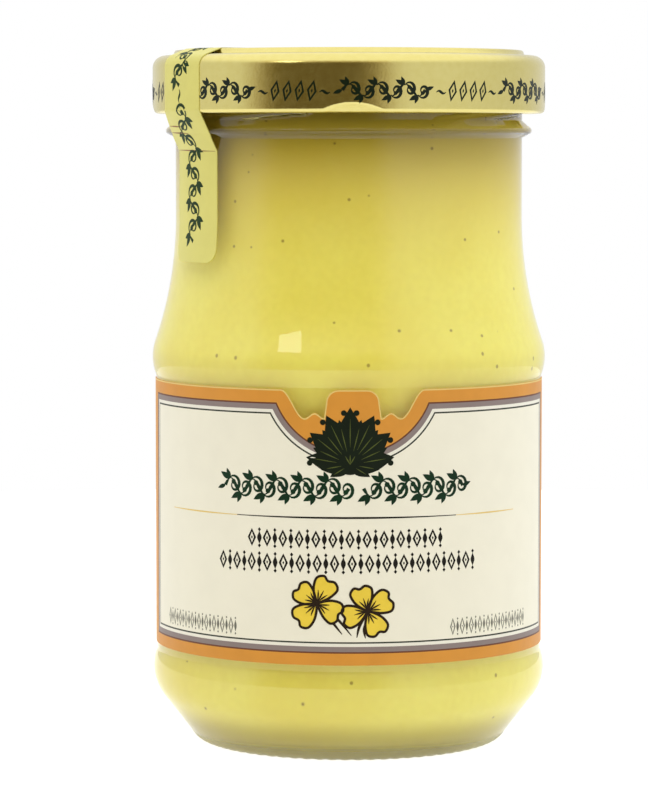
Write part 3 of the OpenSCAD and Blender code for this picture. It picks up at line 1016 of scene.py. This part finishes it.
def draw_blossom(art, at, size, turns):
    """Four notched petals with a dark edge and veins, round a small heart."""
    for k, (turn, length) in enumerate(turns):
        shape = placed(PETAL, at, size * length, turn)
        middle = placed([(0.55, 0.0)], at, size * length, turn)[0]
        art.fan(middle, shape, YELLOW, 1 + k % 2, 3)
        art.ribbon(shape, 0.38, OUTLINE, 4 + k % 2, closed=True)
        for side in (-0.2, 0.0, 0.2):
            end = (0.56 - abs(side) * 0.4, side)
            vein = placed(smooth([(0.06, 0.0), (0.3, side * 0.5), end], 4), at,
                          size * length, turn)
            art.ribbon(vein, swell(0.05, 0.25), OUTLINE, 5)
    art.fan(at, arc(*at, 0.28, 0, 320, 8), OUTLINE, 6)


draw_sprig(front, (-0.4, 45.9), 0.8)
draw_vine(front, (-20.6, 42.3), 4.0, 5, 5.6, VINE)
draw_vine(front, (1.6, 42.3), 4.0, 4, 5.6, VINE, up=False)
for tip, turn in (((-20.6, 42.3), 200), ((17.6, 42.3), 20)):
    draw_leaf(front, tip, 1.6, turn, VINE)
rule = fine([(-33.4, 37.9), (29.0, 37.9)], 0.6)
first, last = len(rule) // 4, -len(rule) // 5
front.ribbon(rule[:first], swell(0.1, 0.22), GOLD, 1)
front.ribbon(rule[first - 1:last], swell(0.12, 0.3), BLACK, 1)
front.ribbon(rule[last - 1:], swell(0.1, 0.22), GOLD, 1)
for stem in ([(-4.9, 24.4), (-3.2, 22.4), (-1.6, 20.4)],
             [(-4.6, 24.2), (-2.4, 22.8), (-0.2, 20.2)],
             [(2.0, 23.2), (1.0, 21.6), (0.6, 19.9)],
             [(2.3, 23.0), (1.7, 21.2), (1.9, 19.8)]):
    front.ribbon(smooth(stem, 5), swell(0.12, 0.42), OUTLINE, 1)
draw_blossom(front, (-5.4, 25.0), 4.0, ((62, 1.0), (142, 0.92), (222, 1.0), (-28, 0.95)))
draw_blossom(front, (2.2, 23.9), 3.9, ((28, 1.0), (108, 0.94), (196, 0.95), (-62, 0.98)))
edge = [(s, cut_height(s) - 0.13) for s in columns if abs(s) < FRAME_HALF + 4]
front.ribbon(edge, 0.2, GOLD, 0)
front_art = wrap(front.piece("label_ornaments"),
                 [leaf_ink, leaf_light, vine_ink, black_ink, petal_ink, outline_ink,
                  gold_hairline], PAPER_R - INK_SUNK)
print("front ornaments:", len(front_art.data.polygons), "faces")

# %% [markdown]
# ## Rows of diamonds and spindles
# A printer's border row is one small unit set again and again. So each row is drawn as
# one unit, and the wrapping tree repeats it at a pitch. Two tall black rows cross the
# front, two small grey ones stand low at its sides, and more grey rows, of different
# lengths and with one left out, fill the back panels.

# %% Set the rows
BACK_COUNTS = (10, 9, 10, 7, 0, 10, 8, 10, 5)
BACK_MIDDLE, BACK_HALF, BACK_PITCH = 65.6, 15.0, 3.0
BACK_TOP, BACK_LINE = 47.0, 2.9


def row_unit(left, z, tall, pitch, stroke):
    """One open diamond with a dot in it, and one spindle between two dots."""
    unit = Print()
    wide = pitch * 0.56
    at, beside = (left + wide / 2, z), (left + wide / 2 + pitch / 2, z)
    unit.ring(diamond(at, wide, tall),
              diamond(at, wide - 2.2 * stroke, tall - 3.0 * stroke), 0)
    unit.fan(at, diamond(at, stroke * 0.9, stroke * 1.6), 0)
    unit.ribbon([(beside[0], z + tall * (i / 8 - 0.5) * 0.66) for i in range(9)],
                swell(stroke * 0.3, stroke * 2.2), 0)
    for end in (-1, 1):
        dot = (beside[0], z + end * tall * 0.45)
        unit.fan(dot, diamond(dot, stroke * 1.5, stroke * 1.9), 0)
    return unit


label_rows = []
for name, left, z, tall, pitch, count, ink in (
        ("row_upper", -16.5, 34.65, 2.7, 2.56, 12, black_ink),
        ("row_lower", -21.8, 31.0, 2.8, 2.62, 16, black_ink),
        ("row_low_left", -35.4, 21.0, 2.6, 1.7, 10, grey_ink),
        ("row_low_right", 15.4, 21.0, 2.6, 1.73, 10, grey_ink)):
    unit = row_unit(left, z, tall, pitch, 0.34 if ink is black_ink else 0.2)
    label_rows.append(wrap(unit.piece(name), [ink], PAPER_R - INK_SUNK, count, pitch))
for side, side_name in ((-1, "left"), (1, "right")):
    for k, count in enumerate(BACK_COUNTS):
        if count:
            unit = row_unit(side * BACK_MIDDLE - BACK_HALF, BACK_TOP - BACK_LINE * k, 1.5,
                            BACK_PITCH, 0.14)
            label_rows.append(wrap(unit.piece(f"back_row_{side_name}_{k}"), [grey_ink],
                                   PAPER_R - INK_SUNK, count, BACK_PITCH))
print(len(label_rows), "rows set")

# %% [markdown]
# ## The printed band on the lid
# A scroll of vine, a wavy dash, a short run of diamonds and another dash run round the
# skirt seven times. One unit is drawn and the wrapping tree sets all seven.

# %% Print the lid's band
BAND_COUNT, BAND_Z, BAND_TURN, SLANT = 7, 101.55, 8.8, -12
BAND_PITCH = math.tau * LID_R / BAND_COUNT
band = Print()
draw_vine(band, (-6.3, BAND_Z), 4.2, 3, 4.4, 0)
for tip, turn in (((-6.3, BAND_Z), 200), ((6.3, BAND_Z), 20)):
    draw_leaf(band, tip, 1.5, turn, 0)
for left in (-9.7, 8.1):
    draw_dash(band, (left, BAND_Z - 0.3), 1.6, swell(0.12, 0.42), 0)
for k in range(4):
    at = (BAND_PITCH / 2 - 2.85 + 1.9 * k, BAND_Z - 0.1)
    outer, inner, dot = (placed(diamond((0, 0), *size), at, 1.0, SLANT)
                         for size in ((1.5, 3.3), (0.85, 2.1), (0.3, 0.7)))
    band.ring(outer, inner, 0)
    band.fan(at, dot, 0)
lid_band = wrap(band.piece("lid_band"), [lid_green], LID_R - INK_SUNK, BAND_COUNT,
                BAND_PITCH, BAND_TURN)
print("lid band:", len(lid_band.data.polygons), "faces")

# %% [markdown]
# ## The seal strip
# A strip of thin paper is glued to the lid's top, folds over its edge, bridges the gap
# under the hem, bends round the glass bead and is glued to the neck. It is made flat, like
# the label, and then laid along that path: each corner keeps its place across the strip,
# and its place along the strip gives the radius, height and outward direction. Three thin
# brown lines of painted shade cross it where it creases as it bends.

# %% Lay the seal strip
SEAL_AT, SEAL_TOP, SEAL_CORNER, SEAL_STEP = -62.0, 13.0, 2.2, 2.1
SEAL_HALF, SEAL_HALF_LID, SEAL_T, SEAL_BRIDGE = 6.3, 5.05, 0.12, 2.0
SEAL_Z0 = (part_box("seal")[0] / MM).z


def strip_path():
    """Side view of the strip's inner face, from the panel's corner to its lower end."""
    corner, top_c = (PANEL_R - 0.15, LID_TOP), (LID_R - LID_ROUND, LEDGE_Z - LID_ROUND)
    curl_c = (LID_R - CURL, HEM_Z + CURL)
    lay = math.degrees(math.atan2(corner[1] - top_c[1], corner[0] - top_c[0])) - turn_of(
        LID_ROUND / math.dist(corner, top_c))
    lean_in = math.degrees(math.atan2(BEAD_Z - curl_c[1], BEAD_C - curl_c[0])) + turn_of(
        (CURL - BEAD_ROUND) / math.dist((BEAD_C, BEAD_Z), curl_c))
    path = ([corner] + arc(*top_c, LID_ROUND, lay, 0, 12)
            + arc(*curl_c, CURL, 0, lean_in, 6)
            + arc(BEAD_C, BEAD_Z, BEAD_ROUND, lean_in, -50, 5)
            + [(NECK_R, BEAD_Z - BEAD_OUT * 0.75 - SEAL_BRIDGE)])
    wall = [p for p in shoulder[::-1] if SEAL_Z0 < p[1] < path[-1][1]]
    last = float(np.interp(SEAL_Z0, *zip(*[(z, r) for r, z in shoulder])))
    return fine(path + wall + [(last, SEAL_Z0)], 0.45)


path = np.array(strip_path())
along = SEAL_TOP + np.concatenate([[0], np.cumsum(np.hypot(*np.diff(path, axis=0).T))])
slope = np.gradient(path, axis=0)
slope /= np.hypot(*slope.T)[:, None]
SEAL_LONG = float(along[-1])


def strip_spread(v):
    """Middle and half width of the strip, at v along it."""
    z = float(np.interp(v, along, path[:, 1]))
    share = min(max((z - BEAD_Z + 1.0) / (HEM_Z + CURL - BEAD_Z + 1.0), 0.0), 1.0)
    end = min(v, SEAL_LONG - v)
    inset = 0.0
    if end < SEAL_CORNER:
        inset = SEAL_CORNER - math.sqrt(max(
            SEAL_CORNER ** 2 - (SEAL_CORNER - end) ** 2, 0))
    return SEAL_STEP * share, SEAL_HALF + (SEAL_HALF_LID - SEAL_HALF) * share - inset


def strip_point(side, v, out):
    """A point's place: across from the strip's middle, along it, out from its back."""
    x = strip_spread(v)[0] + side
    if v < SEAL_TOP:
        near, far = path[0][0] - SEAL_TOP, math.sqrt(path[0][0] ** 2 - x * x)
        y, z = near + (far - near) * v / SEAL_TOP, LID_TOP + out
    else:
        r, z, dr, dz = (float(np.interp(v, along, c)) for c in (*path.T, *slope.T))
        radius = r - out * dz
        y, z = math.sqrt(radius ** 2 - x * x), z + out * dr
    a = math.radians(SEAL_AT)
    return (x * math.cos(a) + y * math.sin(a), x * math.sin(a) - y * math.cos(a), z)


def lay_on_strip(piece, height):
    """Moves a flat piece, x across and z down along, onto the strip's path."""
    for vertex in piece.data.vertices:
        x, y, z = (c / MM for c in vertex.co)
        spot = strip_point(x, min(max(-z, 0.0), SEAL_LONG), height - y)
        vertex.co = [c * MM for c in spot]
    piece.data.update()


ACROSS = 24
corner_marks = [SEAL_CORNER * (1 - math.cos(math.pi / 2 * i / 8)) for i in range(9)]
marks = corner_marks + [float(v) for v in np.arange(SEAL_CORNER + 0.6, SEAL_TOP, 0.8)]
marks += [float(v) for v in along if v < SEAL_LONG - SEAL_CORNER]
marks += [SEAL_LONG - v for v in corner_marks[::-1]]
points, cells = [], []
for v in marks:
    half = strip_spread(v)[1]
    points += [(half * (2 * k / ACROSS - 1), 0.0, -v) for k in range(ACROSS + 1)]
for i in range(len(marks) - 1):
    for k in range(ACROSS):
        a = i * (ACROSS + 1) + k
        cells.append((a + ACROSS + 1, a + ACROSS + 2, a + 1, a))
seal = new_piece("seal_strip", points, cells)
tag(seal.data, [0] * len(cells), [(SEAL_T + INTO_GLASS) * MM] * len(cells))
lay_on_strip(thicken(seal, [seal_paper]), -INTO_GLASS)
face_out(seal)
print("seal:", round(SEAL_LONG, 1), "mm long,", round(volume_of(seal.data), 3), "cm3")

# %% Print the strip


def along_at(z):
    """How far along the strip a height is."""
    return float(np.interp(-z, -path[:, 1], along))


VINE_Z = 79.0
# Height of each crease's line of painted shade, and its two ends as shares of the strip's
# half width there.
CREASES = ((92.6, -0.95, 0.95), (95.3, -0.95, 0.1), (96.3, -0.95, -0.1))
vine = Print()
draw_vine(vine, (-0.4, 0.0), 5.3, 4, 6.4, 0)
draw_vine(vine, (24.3, 0.0), 5.0, 2, 6.0, 0)
draw_dash(vine, (21.7, 0.0), 2.0, swell(0.12, 0.45), 0)
start = along_at(VINE_Z)
vine.points = [(-z, 0.0, -start + x) for x, _, z in vine.points]
# Painted shade: thin brown lines where the strip creases as it bends.
for height, left, right in CREASES:
    v = along_at(height)
    half = strip_spread(v)[1]
    vine.ribbon(fine([(half * left, -v), (half * right, -v - 0.15)], 0.5),
                swell(0.08, 0.24), 1)
seal_print = vine.piece("seal_vine")
# The brown ink of the painted crease shade.
crease_shade = printed("crease_shade", (146, 100, 44))
lay_on_strip(thicken(seal_print, [seal_green, crease_shade]), SEAL_T - INK_SUNK)
print("strip's print:", len(seal_print.data.polygons), "faces")

# %% [markdown]
# ## The studio
# A plain pale floor and plain soft light. The side the camera stands on is kept dark, a
# little to its left, as a room is behind a camera, so that the gold lid and the glass have
# something to reflect, and the sides and the ceiling are bright. A small window-like lamp
# puts the one sharp highlight on the shoulder. The floor is a round table top, not
# endless, so the front stays dark. It glows, which keeps it evenly pale round the jar, and
# scattered rays see a quieter floor, so that it doesn't light the jar too strongly from
# below.

# %% Floor, surroundings and lamp
FLOOR_R, FLOOR_SIDES = 400.0, 120
# Degrees: the darkest direction, left of -Y, then the angles from it where the dark side
# begins to brighten, is bright, begins to turn into the far side, and is the far side.
DARKEST, DARK_HALF, DARK_END, FAR_FROM, FAR_TO = 18.0, 24.0, 50.0, 70.0, 125.0
# The ceiling begins and is full at these heights on a sphere of radius 1.
CEILING_FROM, CEILING_TO = 0.3, 0.75
WHITE = (1.0, 1.0, 1.0, 1.0)


def pale_floor():
    """A round floor under the jar, outside the object."""
    material, nt, shader, place = finish(
        "pale_floor", Roughness=0.7, Specular_IOR_Level=0.2, Emission_Strength=0.85,
        Emission_Color=WHITE)
    plug(shader.inputs["Base Color"], between(
        nt, cloud(nt, place, 30.0), (0.4, 0.4, 0.4, 1.0), (0.43, 0.43, 0.42, 1.0)))
    dull = step(nt, "ShaderNodeBsdfDiffuse", {"Color": (0.74, 0.73, 0.68, 1.0)})
    glow = step(nt, "ShaderNodeEmission", {
        "Color": (1.0, 0.99, 0.93, 1.0), "Strength": 0.14})
    quiet = step(nt, "ShaderNodeAddShader", {0: dull, 1: glow})
    shown_as(nt, shader, ["Is Diffuse Ray"], quiet)
    rim = arc(0.0, 0.0, FLOOR_R, 0, 360 - 360 / FLOOR_SIDES, FLOOR_SIDES - 1)
    floor = new_piece("floor", [(x, y, 0.0) for x, y in rim], [range(len(rim))])
    floor.data.materials.append(material)


def surroundings(dark=0.14, bright=0.94, far=0.86, ceiling=1.38):
    """Light from all round: dark behind the camera, bright at sides, far side and top."""
    world = bpy.data.worlds.new("studio")
    bpy.context.scene.world = world
    world.use_nodes = True
    nt = world.node_tree
    x, y, z = parts_of(nt, step(nt, "ShaderNodeTexCoord", out="Generated"))
    off = (angle_round(x, y) + DARKEST).math("ABSOLUTE")
    side, behind = off.ramp(DARK_HALF, DARK_END), off.ramp(FAR_FROM, FAR_TO)
    above = z.ramp(CEILING_FROM, CEILING_TO)
    lit = side.math("MAXIMUM", above)
    level = side * (bright - dark) + behind * (far - bright) + dark
    level = level * (above * -1.0 + 1.0) + above * ceiling
    camera_sees = step(nt, "ShaderNodeLightPath", out="Is Camera Ray")
    level = level * (camera_sees * -1.0 + 1.0) + camera_sees
    warm = between(nt, lit.math("MAXIMUM", camera_sees), (1.0, 0.72, 0.26, 1.0), WHITE)
    plug(nt.nodes["Background"].inputs["Color"], warm)
    plug(nt.nodes["Background"].inputs["Strength"], level)


def lamp(name, turn, lift, away, wide, tall, watts):
    """A soft lamp that looks at the jar: angle round it, angle of height, metres away."""
    data = bpy.data.lights.new(name, "AREA")
    data.shape, data.size, data.size_y, data.energy = "RECTANGLE", wide, tall, watts
    holder = bpy.data.objects.new(name, data)
    a, e = math.radians(turn), math.radians(lift)
    back = Vector((math.sin(a) * math.cos(e), -math.cos(a) * math.cos(e), math.sin(e)))
    holder.location = back * away + Vector((0.0, 0.0, 0.06))
    holder.rotation_euler = (-back).to_track_quat("-Z", "Y").to_euler()
    bpy.context.scene.collection.objects.link(holder)


pale_floor()
surroundings()
lamp("window", turn=-38.5, lift=31.0, away=0.9, wide=0.2, tall=0.11, watts=0.26)
bpy.context.scene.view_settings.view_transform = "Standard"
print("studio ready")

# %% [markdown]
# ## Handing over
# Every piece rides on the one body, and the CAD node that it replaces is hidden.

# %% Ride and hide the replaced nodes
for piece, slot, node in (
        (glass, "glass", "jar"), (mustard, "mustard", "mustard"), (lid, "lid_metal", "lid"),
        (label, "label_paper", "label"), (seal, "seal_paper", "seal"),
        (front_art, "label_paper", None), (lid_band, "lid_metal", None),
        (seal_print, "seal_paper", None),
        *((row, "label_paper", None) for row in label_rows)):
    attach(piece, "root")
    if node:
        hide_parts(node)
